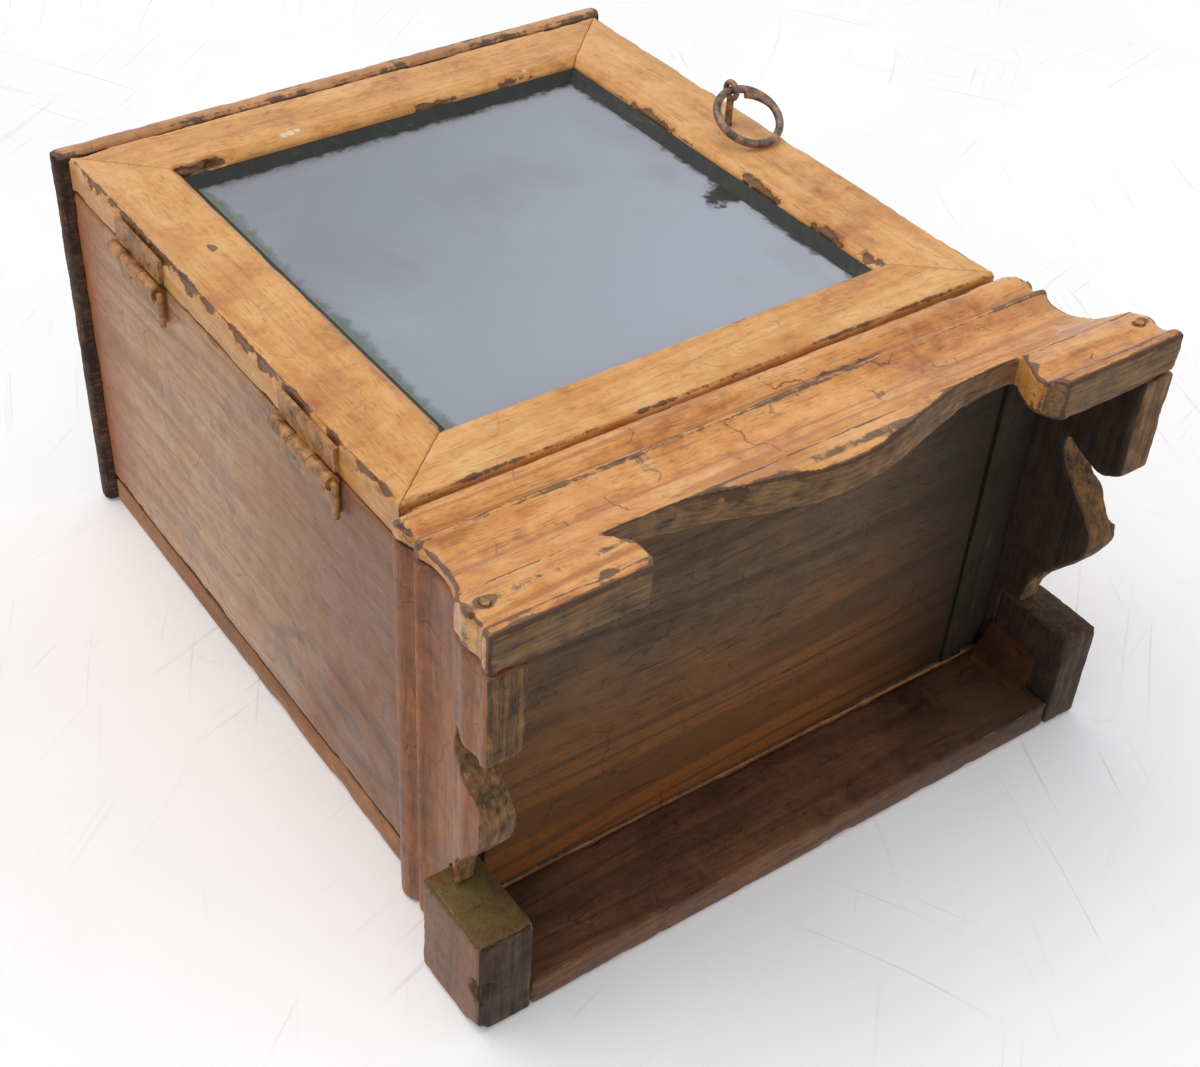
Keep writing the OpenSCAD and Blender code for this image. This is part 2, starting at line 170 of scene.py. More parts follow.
def planed(add, coord, grain, tones, dirt, tints, streak, rings):
    """Planed pine under varnish: drifts of tone, fibres, pores, a gleam in the grain and growth rings."""
    bands = grain.pattern(10.5, 96, detail=4, rough=0.55, warp=1.1)
    tone = add("Math", add("Math", grain.drift, 0.42, **TIMES), add("Math", bands, 0.28, **TIMES), **PLUS)
    tone = add("Math", tone, add("Math", grain.mottle, 0.30, **TIMES), **PLUS)
    base = three_tones(add, tone, (0.36, 0.48, 0.62), tones)
    for side, start, end, colour in tints:
        reach = add("SeparateXYZ", coord, out="XYZ"[side])
        uneven = add("Math", add("Math", grain.drift, 0.5, **LESS), 0.9, **TIMES)
        along = add("MapRange", reach, start * MM, end * MM, 0.0, 0.85, **SMOOTH)
        base = add("Mix", add("Math", along, uneven, **PLUS), base, srgb(colour), **COLOUR)
    lines = add("MapRange", grain.fibres, 0.53, 0.72, 0.0, streak, **SMOOTH)
    base = add("Mix", lines, base, dirt, **COLOUR)
    base = add("Mix", grain.pores, base, dirt, **COLOUR)
    gleam = grain.pattern(1.25, 16.7, detail=3, shift=grain.aside)
    base = add("Mix", add("MapRange", gleam, 0.56, 0.72, 0.0, 0.22, **SMOOTH), base, tones[2], **COLOUR)
    # Growth rings are a slow pattern cut into thin bands
    slow = grain.pattern(67, 890, detail=2, rough=0.45, warp=0.35, shift=grain.aside)
    ring = add("Math", add("Math", slow, 95.0, operation="MULTIPLY"), operation="SINE")
    return add("Mix", add("MapRange", ring, 0.35, 1.0, 0.0, rings, **SMOOTH), base, tones[0], **COLOUR)


def flamed(add, coord, grain, knot, base, dirt):
    """Flame grain round the knot, drawn out along the board."""
    flat = 0.42
    centre = (-knot[0] * MM, -knot[1] * MM, -knot[2] * MM * flat)
    heart = add("Mapping", coord, Location=centre, Scale=(1, 1, flat))
    reach = add("VectorMath", heart, operation="LENGTH")
    wavy = add("Math", reach, add("Math", grain.drift, 0.03, operation="MULTIPLY"), operation="ADD")
    flame = add("Math", add("Math", wavy, 430.0, operation="MULTIPLY"), operation="SINE")
    flame = add("MapRange", flame, -0.1, 1.1, 0.0, 0.62, **SMOOTH)
    near = add("MapRange", reach, 0.034, 0.010, **SMOOTH)
    return add("Mix", add("Math", flame, near, **TIMES), base, dirt, **COLOUR)


def aged(add, coord, grain, tones, base, dirt, crack):
    """Stains, pits and hairline cracks in the varnish. The cracks come back for the relief too."""
    aside = grain.aside
    blotch = grain.pattern(14.3, detail=6, rough=0.7, warp=0.8, shift=aside)
    base = add("Mix", add("MapRange", blotch, 0.61, 0.72, 0.0, 0.5, **SMOOTH), base, tones[0], **COLOUR)
    stain = grain.pattern(6.7, detail=4, rough=0.65, warp=1.2, shift=aside)
    base = add("Mix", add("MapRange", stain, 0.66, 0.74, 0.0, 0.35, **SMOOTH), base, dirt, **COLOUR)
    pits = grain.pattern(2.1, detail=2, rough=0.5, warp=0.0)
    base = add("Mix", add("MapRange", pits, 0.71, 0.78, 0.0, 0.35, **SMOOTH), base, dirt, **COLOUR)
    # Cracks run along cells about 30 mm wide, bent a little, and only here and there
    sway = add("TexNoise", coord, Scale=130.0, Detail=2.0, out="Color")
    sway = add("VectorMath", sway, (0.009, 0.009, 0.009), operation="MULTIPLY")
    bent = add("VectorMath", coord, sway, operation="ADD")
    cells = add("Mapping", bent, Location=grain.place, Scale=(34, 34, 34))
    web = add("TexVoronoi", cells, Scale=1.0, Randomness=1.0, feature="DISTANCE_TO_EDGE")
    here = grain.pattern(16.7, detail=4, warp=0.0, shift=aside)
    cracks = add("Math", add("MapRange", web, 0.016, 0.0, **SMOOTH),
        add("MapRange", here, 0.50, 0.62, **SMOOTH), **TIMES)
    return add("Mix", add("Math", cracks, crack, **TIMES), base, dirt, **COLOUR), cracks


def left_bare_and_shaded(add, grain, raw, base, bare_and_shade):
    """Unfinished faces, and the faces deep under the case that are painted nearly black as shade."""
    tone = add("Math", grain.fibres, 0.55, **TIMES)
    tone = add("Math", tone, add("Math", grain.mottle, 0.45, **TIMES), **PLUS)
    colour = three_tones(add, tone, (0.38, 0.5, 0.64), [srgb(code) for code in bare_and_shade])
    patchy = add("Math", raw, add("Math", add("Math", grain.mottle, 0.5, **LESS), 0.9, **TIMES), **PLUS)
    base = add("Mix", add("MapRange", patchy, 0.35, 0.6, **SMOOTH), base, colour, **COLOUR)
    # Levels from 1 to 2 are painted shade: faces deep under the case go nearly black
    return add("Mix", add("MapRange", raw, 1.0, 2.0, 0.0, 0.86, **SMOOTH), base, srgb("#15100C"), **COLOUR)


def handled(add, grain, base, dirt, rubbed_edge, rub):
    """Rubbed arrises, grime in the hollows and splinters, read from the mesh. The rubbing comes back too."""
    wear = add("Attribute", out="Fac", attribute_name="wear")
    loose = add("Math", add("Math", grain.drift, 1.4, operation="MULTIPLY"), grain.ragged, operation="ADD")
    worn_off = add("Math", wear, add("Math", loose, 2.12 - rub, operation="SUBTRACT"), operation="ADD")
    worn_off = add("MapRange", worn_off, 0.42, 0.62, 0.0, 0.85, **SMOOTH)
    worn_off = add("Math", worn_off, add("MapRange", wear, 0.12, 0.3, **SMOOTH), **TIMES)
    base = add("Mix", worn_off, base, srgb(rubbed_edge), **COLOUR)
    hollow = add("MapRange", add("Attribute", out="Fac", attribute_name="hollow"), 0.3, 1.0, **SMOOTH)
    dirty = add("Math", hollow, add("MapRange", grain.drift, 0.38, 0.62, 0.15, 0.6, **SMOOTH), **TIMES)
    base = add("Mix", dirty, base, dirt, **COLOUR)
    chip = add("Attribute", out="Fac", attribute_name="chip")
    torn = add("Math", add("Math", grain.ragged, 0.5, operation="SUBTRACT"), 1.6, operation="MULTIPLY")
    torn = add("MapRange", add("Math", chip, torn, operation="ADD"), 0.42, 0.6, 0.0, 0.85, **SMOOTH)
    torn = add("Math", torn, add("MapRange", chip, 0.05, 0.3, **SMOOTH), **TIMES)
    splintered = add("Mix", grain.fibres, dirt, srgb(rubbed_edge), **COLOUR)
    return add("Mix", torn, base, splintered, **COLOUR), worn_off


def old_pine(name, axis, varnish, bare_and_shade, grime, rubbed_edge, rough=0.42, streak=0.3, rings=0.25, rub=0.5,
             crack=0.5, shift=0.0, coat=0.2, tints=(), painted_shade=None, flakes=(), knot=None):
    """Old hand-planed pine under a thin brushed varnish, dull, scratched and dark in its pores.

    varnish and bare_and_shade are the dark, middle and light tones of the varnished and of the unfinished
    faces, the latter painted darker as shade on faces inside and under the case. grime lies in hollows,
    rubbed_edge shows on rub of the arrises. tints are (axis, from, to, colour) along a board and
    painted_shade is (axis, from, to) where shade is painted nearly black, in mm. flakes are (x, y, z, size)
    where the varnish has come off pale, and knot is the (x, y, z) heart of a flame grain, both in mm."""
    material, add, coord = new_finish(name)
    tones = [srgb(code) for code in varnish]
    dirt = srgb(grime)
    raw = add("Attribute", out="Fac", attribute_name="raw")
    grain = board_grain(add, coord, axis, shift)
    base = planed(add, coord, grain, tones, dirt, tints, streak, rings)
    if knot:
        base = flamed(add, coord, grain, knot, base, dirt)
    base, cracks = aged(add, coord, grain, tones, base, dirt, crack)
    base = left_bare_and_shaded(add, grain, raw, base, bare_and_shade)
    # Painted shade: the board goes nearly black along one axis, deep under the case
    if painted_shade:
        side, start, end = painted_shade
        reach = add("SeparateXYZ", coord, out="XYZ"[side])
        dark = add("MapRange", reach, start * MM, end * MM, 0.0, 0.88, **SMOOTH)
        base = add("Mix", dark, base, srgb("#16140F"), **COLOUR)
    base, worn_off = handled(add, grain, base, dirt, rubbed_edge, rub)
    for x, y, z, size in flakes:
        away = add("VectorMath", coord, (x * MM, y * MM, z * MM), operation="DISTANCE")
        edge = add("Math", add("Math", 1.1, grain.ragged, **LESS), size * MM, operation="MULTIPLY")
        inside = add("Math", edge, away, operation="SUBTRACT")
        flake = add("MapRange", inside, -0.0004, 0.0004, 0.0, 0.85, **SMOOTH)
        base = add("Mix", flake, base, srgb("#E6D3BE"), **COLOUR)
    height = add("Math", grain.fibres, 0.4, **TIMES)
    height = add("Math", height, add("Math", grain.ragged, 0.3, **TIMES), **PLUS)
    height = add("Math", height, add("Math", grain.mottle, 0.3, **TIMES), **PLUS)
    height = add("Math", height, add("Math", cracks, 0.5, **TIMES), **LESS)
    height = add("Math", height, grain.pores, **LESS)
    bump = add("Bump", Height=height, Strength=0.5, Distance=0.0008)
    dull = add("MapRange", raw, 0.3, 0.7, 0.0, 0.25, **SMOOTH)
    dull = add("Math", dull, add("Math", worn_off, 0.2, **TIMES), **PLUS)
    gloss = add("MapRange", grain.drift, 0.3, 0.7, rough - 0.1, rough + 0.12, **SMOOTH)
    film = add("MapRange", raw, 0.7, 0.3, 0.0, coat, **SMOOTH) if coat else 0.0
    shader = add("BsdfPrincipled", Base_Color=base, Roughness=add("Math", dull, gloss, **PLUS), Normal=bump,
        Coat_Weight=film, Coat_Roughness=0.25, IOR=1.45, Specular_IOR_Level=0.45 if coat else 0.25)
    add("OutputMaterial", shader)
    return material


def old_iron(name, tones, metallic, rough, shift):
    """Hand-forged iron: a dark scale, rust in patches and a dull shine where hands rub it."""
    material, add, coord = new_finish(name)
    pattern = partial(cloud, add, coord, shift=(shift, -shift, shift * 0.5))
    patch = pattern(4.8)
    fine = pattern(1.1, detail=4, warp=0.0)
    base = three_tones(add, patch, (0.36, 0.52, 0.68), [srgb(code) for code in tones])
    base = add("Mix", add("MapRange", fine, 0.55, 0.7, 0.0, 0.5, **SMOOTH), base, srgb(tones[0]), **COLOUR)
    shader = add("BsdfPrincipled", Base_Color=base, Metallic=metallic,
        Roughness=add("MapRange", patch, 0.3, 0.7, rough - 0.12, rough + 0.15, **SMOOTH),
        Normal=add("Bump", Height=fine, Strength=0.5, Distance=0.0004))
    add("OutputMaterial", shader)
    return material


def old_putty():
    """Linseed putty pressed in by thumb: nearly black with age, lumpy, with smears of green paint."""
    material, add, coord = new_finish("linseed_putty")
    lumps = cloud(add, coord, 8.3, rough=0.65, warp=0.5)
    tones = [srgb(code) for code in ("#0E100C", "#1B1F17", "#3E4E2E")]
    base = three_tones(add, lumps, (0.38, 0.6, 0.78), tones)
    shader = add("BsdfPrincipled", Base_Color=base, Roughness=0.6,
        Normal=add("Bump", Height=lumps, Strength=0.8, Distance=0.001))
    add("OutputMaterial", shader)
    return material


def old_window_glass():
    """Drawn window glass, a little wavy, under a film of dust that doubles as a painted grey-blue reflection,
    with putty and green paint on its rim.
    """
    material, add, coord = new_finish("drawn_window_glass")
    wave = add("TexNoise", add("Mapping", coord, Scale=(18, 9, 18)), Scale=1.0, Detail=2.0, Distortion=0.3)
    bump = add("Bump", Height=wave, Strength=0.2, Distance=0.002)
    glass = add("BsdfPrincipled", Base_Color=srgb("#C9D2D6"), Roughness=0.03, IOR=1.52,
        Transmission_Weight=1.0, Normal=bump)
    x, _, z = add("SeparateXYZ", coord).node.outputs
    # The film is thicker and paler towards the bottom and the closing side, as dust and as a painted
    # reflection
    paler = add("Math", add("MapRange", z, 0.29, 0.11, 0.0, 0.55, **SMOOTH),
        add("MapRange", x, -0.09, 0.09, 0.0, 0.35, **SMOOTH), **PLUS)
    uneven = add("Math", cloud(add, coord, 91, detail=4, warp=0.6), 0.5, **LESS)
    paler = add("Math", paler, add("Math", uneven, 0.8, **TIMES), **PLUS)
    dust_and_reflection_colour = add("Mix", paler, srgb("#8C9098"), srgb("#B6BCCB"), **COLOUR)
    # A faint brown glow of the wood behind it
    behind = add("Mapping", coord, Location=(2.2, 0, 0.7), Scale=(16, 1, 9))
    glow = add("TexNoise", behind, Scale=1.0, Detail=3.0, Distortion=0.4)
    glow = add("MapRange", glow, 0.56, 0.74, 0.0, 0.35, **SMOOTH)
    dust_and_reflection_colour = add("Mix", glow, dust_and_reflection_colour, srgb("#8F857E"), **COLOUR)
    # The film's colour is partly dust and partly the glass's painted reflection
    dust_and_reflection = add("BsdfPrincipled", Base_Color=dust_and_reflection_colour, Roughness=0.2, Normal=bump)
    glass_under_film = add("MixShader", 0.8, glass, dust_and_reflection)
    # Smears reach in from the rim, black at the top and the closing side, green at the hinge side
    ragged = cloud(add, coord, 7.7, rough=0.65, warp=0.6)
    lumpy = add("Math", add("Math", ragged, 0.012, **TIMES),
        add("Math", cloud(add, coord, 45, detail=3, rough=0.55, warp=0.0), 0.010, **TIMES), **PLUS)
    low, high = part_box("glass_pane")
    # The rebate hides this much of the pane's edge
    rim = 4.5 * MM

    def smear(gap, width):
        reach = add("Math", lumpy, gap, operation="SUBTRACT")
        return add("MapRange", reach, 0.0035 - width, 0.0078 - width, **SMOOTH)

    top = smear(add("Math", high[2] - rim, z, operation="SUBTRACT"), 0.0015)
    closing = smear(add("Math", high[0] - rim, x, operation="SUBTRACT"), 0.0005)
    bottom = smear(add("Math", z, low[2] + rim, operation="SUBTRACT"), -0.003)
    green = smear(add("Math", x, low[0] + rim, operation="SUBTRACT"), 0.0032)
    black = add("Math", add("Math", top, closing, **MOST), bottom, **MOST)
    # One lump of putty reaches in from the closing side
    lump_place = (85 * MM, -67.5 * MM, 179 * MM)
    away = add("VectorMath", coord, lump_place, operation="DISTANCE")
    reach = add("Math", cloud(add, coord, 11, detail=4, rough=0.55, warp=0.0), 0.022, **TIMES)
    lump = add("MapRange", add("Math", reach, away, operation="SUBTRACT"), 0.0005, 0.0030, **SMOOTH)
    black = add("Math", black, lump, **MOST)
    smeared = add("Mix", ragged, srgb("#0C0E0A"), srgb("#22261C"), **COLOUR)
    smeared = add("Mix", add("Math", green, black, **LESS), smeared, srgb("#465A36"), **COLOUR)
    paint = add("BsdfPrincipled", Base_Color=smeared, Roughness=0.45)
    cover = add("Math", black, add("Math", green, 0.7, **TIMES), **MOST)
    add("OutputMaterial", add("MixShader", cover, glass_under_film, paint))
    return material


# Dark, middle and light tones
HONEY = ("#AC6628", "#D89850", "#EAB576")
BARE = ("#3A2A1E", "#5C4330", "#7C5C42")
UNDER_SHADED = ("#3F2E1C", "#604A33", "#765C43")
STRIP_SHADED = ("#231C14", "#2E251A", "#3E3223")
RAIL = ("#452A1A", "#684530", "#825839")
FOOT_END = ("#20170F", "#423021", "#644A31")
FOOT_SIDE = ("#54341F", "#7A4F32", "#906444")
MOULDING = ("#A05A20", "#D89248", "#ECB474")
MOULDING_SAWN = ("#43301F", "#765636", "#9C7246")
SIDE_MOULDING = ("#5E3418", "#945830", "#B47444")
SIDE_SAWN = ("#2E2016", "#6E4E2E", "#A2733F")
PANEL = ("#965E34", "#C08C5E", "#D2A67C")
# Unfinished inner faces of the panels, painted darker as shade
PANEL_INSIDE_SHADED = ("#2A1E16", "#3E2E22", "#554030")
TOP = ("#9A6232", "#C68C56", "#D8A472")
TOP_BARE = ("#241710", "#4A2E1C", "#7C4C28")
# Where the varnish has come off the top rail
FLAKES = ((-46, DOOR_Y, 297.6, 2.2), (-42.6, DOOR_Y, 298.2, 2.5), (-39.4, DOOR_Y, 298.6, 1.9),
    (69, DOOR_Y, 296.1, 1.8))

# Door: honey varnish, its arrises knocked dark
door_pine = partial(old_pine, varnish=HONEY, bare_and_shade=BARE, grime="#6A4024", rubbed_edge="#4A3226", streak=0.3,
    crack=0.28)
rail_pine = door_pine("varnished_pine_rail", "X", rub=0.72, shift=1.0, flakes=FLAKES)
stile_pine = door_pine("varnished_pine_stile", "Z", rub=0.82, shift=2.3)
# Plinth: run mouldings under a thicker glossy coat, crazed, darker on the sides
plinth_front_pine = old_pine("glossy_pine_moulding", "X", MOULDING, MOULDING_SAWN, "#5A3826", "#50382C",
    streak=0.5, rings=0.5, rub=1.05, shift=3.1, coat=0.4, crack=0.8)
plinth_side_pine = old_pine("stained_pine_moulding", "Y", SIDE_MOULDING, SIDE_SAWN, "#38241A", "#6A5244",
    streak=0.55, rub=0.5, shift=4.4, rough=0.5, coat=0.08)
# Case: sawn boards with a knot low on the side. Their tint turns darker brown towards the bottom, painted
# shade where the varnish's sheen fades, and orange at the top
panel_pine = old_pine("varnished_pine_panel", "Z", PANEL, PANEL_INSIDE_SHADED, "#54382A", "#5A3A28", streak=0.4,
    rings=0.45, rub=0.5, shift=5.2, coat=0.08, tints=((2, 225, 92, "#7A400C"), (2, 275, 325, "#A4561A")),
    knot=(-126, 50, 118))
back_pine = old_pine("planed_pine_back", "Z", ("#7A4A2A", "#A26C44", "#B98458"), BARE, "#46301F", "#5A3A28",
    rough=0.6, rings=0.4, rub=0.4, shift=6.0, coat=0.0)
top_pine = old_pine("varnished_pine_top", "X", TOP, TOP_BARE, "#2E1E16", "#2E211B", rub=1.0, shift=7.5)
# Under the case: unfinished wood, grey-brown to orange, its tones darkened as painted shade of the recess and
# painted nearly black as shade in the corner
under_pine = old_pine("bare_pine_floor", "X", UNDER_SHADED, UNDER_SHADED, "#221A12", "#5C442C", rough=0.62, streak=0.6,
    rings=0.5, shift=8.1, coat=0.0, tints=((1, -30, 76, "#8A5020"),), painted_shade=(0, 20, 108))
# Floor strips deep in the recess: painted shade, nearly black
shaded_strip_pine = old_pine("shaded_pine_strip", "Y", STRIP_SHADED, STRIP_SHADED, "#14100B", "#3E3223", rough=0.62, streak=0.5,
    rings=0.3, shift=8.9, coat=0.0)
# Back rail: painted shade darkens it towards +X, deep under the case
back_rail_pine = old_pine("bare_pine_rail", "X", RAIL, RAIL, "#20150E", "#8A6040", rough=0.6, streak=0.55,
    rings=0.4, rub=0.4, shift=9.6, coat=0.0, painted_shade=(0, 0, 190))
# Rear feet: blocks with dark end grain, moss on the damp side. The right foot's inner face is painted darker
# as shade
foot_pine = old_pine("weathered_pine_foot", "Y", FOOT_SIDE, FOOT_END, "#221810", "#4E3A2A", rough=0.55,
    streak=0.5, shift=10.2, coat=0.1)
moss_pine = old_pine("mossy_pine_foot", "Y", ("#5A4022", "#6E5230", "#6C6A34"), FOOT_END, "#221810",
    "#5A452E", rough=0.7, streak=0.4, shift=10.9, coat=0.0)
# Hidden blocks and beads: split pine, never varnished
block_pine = old_pine("glued_pine_block", "Z", ("#26150A", "#482A14", "#6A3E1C"), BARE, "#1E120A", "#7A4A28",
    rough=0.6, streak=0.6, shift=11.4, coat=0.0)
bead_pine = old_pine("split_pine_bead", "Z", ("#3A2A1C", "#4E3A28", "#6A5036"), BARE, "#1E1610", "#4A3828",
    rough=0.6, shift=12.7, coat=0.0)
# Hinges and their nails wear the case's own varnish over the iron
hinge_iron = old_iron("varnished_iron", ("#6E4626", "#A8743F", "#C4935C"), 0.1, 0.42, 1.0)
nail_iron = old_iron("rusty_iron", ("#3A2A20", "#6A4A34", "#8A6444"), 0.3, 0.6, 2.0)
ring_iron = old_iron("handled_iron", ("#4A3E38", "#7E6A5E", "#C08E60"), 0.5, 0.42, 3.0)
putty = old_putty()
window_glass = old_window_glass()


# Worn boards
def neighbour_mean(points, pairs, count):
    """The mean place of each point's neighbours."""
    total = np.zeros_like(points)
    for a, b in ((0, 1), (1, 0)):
        for axis in range(3):
            total[:, axis] += np.bincount(pairs[:, a], points[pairs[:, b], axis], len(points))
    return total / count[:, None]


def board_skin(node, voxel):
    """The CAD board as one closed, finely divided skin."""
    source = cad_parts[node]
    mesh = source.data.copy()
    mesh.transform(source.matrix_world)
    work = bpy.data.objects.new("work", mesh)
    scene.collection.objects.link(work)
    remesh = work.modifiers.new("remesh", "REMESH")
    remesh.mode = "VOXEL"
    remesh.voxel_size = voxel * MM
    skin = bpy.data.meshes.new_from_object(work.evaluated_get(bpy.context.evaluated_depsgraph_get()))
    bpy.data.objects.remove(work)
    return skin


def read(items, label, width, kind=float):
    """One value of each item of a mesh, as an array."""
    values = np.empty(len(items) * width, dtype=kind)
    items.foreach_get(label, values)
    return values.reshape(-1, width)


def keep_layer(skin, label, values, pairs, count, rings):
    """Store one value a point, spread over rings of neighbours and fading outwards."""
    spread = values
    for _ in range(rings):
        around = np.bincount(pairs[:, 0], spread[pairs[:, 1]], len(values))
        around += np.bincount(pairs[:, 1], spread[pairs[:, 0]], len(values))
        spread = np.maximum(spread, 0.72 * around / count)
    layer = skin.attributes.new(label, "FLOAT", "POINT")
    layer.data.foreach_set("value", spread.astype(np.float32))


def worn(node, voxel, material, slot, body, soft=1.0, dents=0.15, keep=None, raw=None, chips=(), seed=0.0,
         passes=10, damp=None):
    """A board whose arrises are rubbed and dented inwards, with its wear kept as point attributes.

    voxel is how fine its skin is and dents how deep the shallow hollows are, in mm. soft scales the rubbing.
    keep(points) is 0 where edges stay crisp. raw(points, normals) is 1 on unfinished faces
    and 2 on inner ones painted nearly black as shade. chips are (x, y, z, width, height, depth) in mm where a
    splinter is gone. damp is a material and the test of normals that picks its faces."""
    skin = board_skin(node, voxel)
    total = len(skin.vertices)
    points = read(skin.vertices, "co", 3) / MM
    normals = read(skin.vertices, "normal", 3)
    pairs = read(skin.edges, "vertices", 2, np.int32)
    count = np.bincount(pairs.ravel(), minlength=total).astype(float)
    rounded = points.copy()
    for _ in range(passes):
        rounded = rounded * 0.4 + neighbour_mean(rounded, pairs, count) * 0.6
    pull = rounded - points
    inward = -np.einsum("ij,ij->i", pull, normals)
    # Waves about 6, 14 and 28 mm long: dents, worn stretches and the whole arris
    fine = np.array([noise.fractal(Vector(p) * 0.16 + Vector((seed, 0, 0)), 0.8, 2.1, 4) for p in points])
    slow = np.array([noise.fractal(Vector(p) * 0.07 + Vector((0, 0, seed)), 0.9, 2.2, 4) for p in points])
    broad = np.array([noise.noise(Vector(p) * 0.035 + Vector((0, seed, 0))) for p in points])
    gone = np.clip((slow + broad * 0.6 - 0.15) * 2.0, 0, 1)
    crisp = np.ones(total) if keep is None else keep(points)
    amount = soft * crisp * (0.6 + 0.4 * broad + 1.5 * gone)
    amount = np.where(inward > 0, np.clip(amount, 0.1, 3.0), 1.0)
    moved = points + pull * amount[:, None]
    moved -= normals * (dents * np.clip(fine * 0.5 + 0.3, 0, 1))[:, None]
    splinter = np.zeros(total)
    for x, y, z, wide, tall, depth in chips:
        away = np.linalg.norm((points - (x, y, z)) / (wide, (wide + tall) / 2, tall), axis=1) + fine * 0.5
        fall = np.clip(1 - away, 0, 1)
        moved -= normals * (depth * np.minimum(1, fall * 2.2))[:, None]
        splinter = np.maximum(splinter, np.minimum(1, fall * 2.5))
    low, high = (np.array(corner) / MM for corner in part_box(node))
    moved = np.clip(moved, low, high)
    skin.vertices.foreach_set("co", (moved * MM).ravel())
    # An arris that the rounding pulls in by this much counts as fully rubbed
    bend = voxel * 0.55
    bare_and_shade = np.zeros(total) if raw is None else raw(points, normals)
    keep_layer(skin, "wear", np.clip(inward / bend * crisp, 0, 1), pairs, count, 3)
    keep_layer(skin, "hollow", np.clip(-inward / bend, 0, 1), pairs, count, 3)
    keep_layer(skin, "chip", splinter, pairs, count, 0)
    keep_layer(skin, "raw", bare_and_shade, pairs, count, 1)
    skin.materials.clear()
    skin.materials.append(material)
    if damp:
        skin.materials.append(damp[0])
        facing = damp[1](read(skin.polygons, "normal", 3))
        skin.polygons.foreach_set("material_index", facing.astype(np.int32))
    skin.shade_smooth()
    piece = bpy.data.objects.new(node + "_worn", skin)
    scene.collection.objects.link(piece)
    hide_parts(node)
    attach(piece, body)


def size_of(node):
    low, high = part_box(node)
    return [(b - a) / MM for a, b in zip(low, high)]


STILE_W = size_of("door_hinge_stile")[0]
TOP_RAIL = size_of("door_top_rail")[2]
BOTTOM_RAIL = size_of("door_bottom_rail")[2]
# Height below which the plinth's boards are sawn into brackets
BRACKET_Z = 46


def off_the_mitres(points):
    """Edges stay crisp along the door's mitres."""
    across = (DOOR_HALF - np.abs(points[:, 0])) / STILE_W
    low = np.abs(across - (points[:, 2] - DOOR_LOW[2]) / BOTTOM_RAIL)
    high = np.abs(across - (DOOR_HIGH[2] - points[:, 2]) / TOP_RAIL)
    return np.clip(np.minimum(low, high) * STILE_W / 3.5 - 0.2, 0.02, 1)


def looks_inwards(points, normals):
    return normals[:, 0] * np.sign(points[:, 0]) < -0.6


def sawn_below(points, normals):
    return (normals[:, 2] < -0.45) & (points[:, 2] < BRACKET_Z)


def bare_door_back(points, normals):
    return (normals[:, 1] > 0.6) * 0.9


def bare_and_shaded_plinth_front(points, normals):
    # Inner face painted nearly black as shade; sawn faces below the brackets unfinished
    return np.where(normals[:, 1] > 0.7, 1.8, sawn_below(points, normals) * 0.85)


def bare_and_shaded_plinth_side(points, normals):
    # Inner faces painted nearly black as shade; sawn faces below the brackets unfinished
    return np.where(looks_inwards(points, normals), 1.9, sawn_below(points, normals) * 0.8)


def bare_and_shaded_panel(points, normals):
    inside = looks_inwards(points, normals) | (normals[:, 1] > 0.6)
    # Inner faces unfinished; end faces underneath painted nearly black as shade
    return np.where(inside, 1.0, np.where(normals[:, 2] < -0.6, 1.9, 0))


def bare_back(points, normals):
    return (normals[:, 1] < -0.6) * 1.0


def bare_top(points, normals):
    return np.where(normals[:, 1] < -0.35, 0.0, 1.0)


def bare_left_foot(points, normals):
    return (normals[:, 2] < -0.6) * 1.0


def bare_and_shaded_right_foot(points, normals):
    # Unfinished all over; the inner face painted darker still as shade
    return np.where(normals[:, 0] < -0.6, 1.6, 1.0)


def looks_forward(normals):
    return normals[:, 1] < -0.6


# Splinters gone along the door's arrises, the plinth and the left foot
STILE_ARRIS = ((304, 1.6, 9), (286, 2.2, 7), (266, 1.8, 16), (244, 1.4, 12), (222, 1.8, 11), (204, 1.5, 8),
    (180, 2.4, 10), (160, 1.4, 12), (141, 1.9, 14), (116, 1.6, 9), (96, 1.4, 8), (82, 2.4, 6))
STILE_CHIPS = [(-126.2, DOOR_Y, z, wide, tall, 1.1) for z, wide, tall in STILE_ARRIS]
STILE_CHIPS += [(-93, DOOR_Y, 101, 3, 6, 1.0), (-93, DOOR_Y, 215, 1.6, 12, 0.7),
    (-108, DOOR_Y, 236, 1.6, 3, 0.4)]
RAIL_CHIPS = [(-88, DOOR_Y, 294, 12, 3.6, 2.8), (-76, DOOR_Y, 294, 7, 2.6, 2.0),
    (22, DOOR_Y, 293.5, 14, 2.2, 1.0), (62, DOOR_Y, 293.5, 9, 2.4, 1.0), (-118, DOOR_Y, 325, 8, 3, 1.0),
    (40, DOOR_Y, 325, 12, 2, 0.8)]
CLOSING_CHIPS = [(93, DOOR_Y, 168, 3, 16, 1.2), (93, DOOR_Y, 130, 2.6, 13, 1.0), (93, DOOR_Y, 104, 5, 6, 1.6),
    (93, DOOR_Y, 240, 2.4, 18, 0.8), (126, DOOR_Y, 100, 2, 9, 0.8), (126, DOOR_Y, 250, 2, 14, 0.7)]
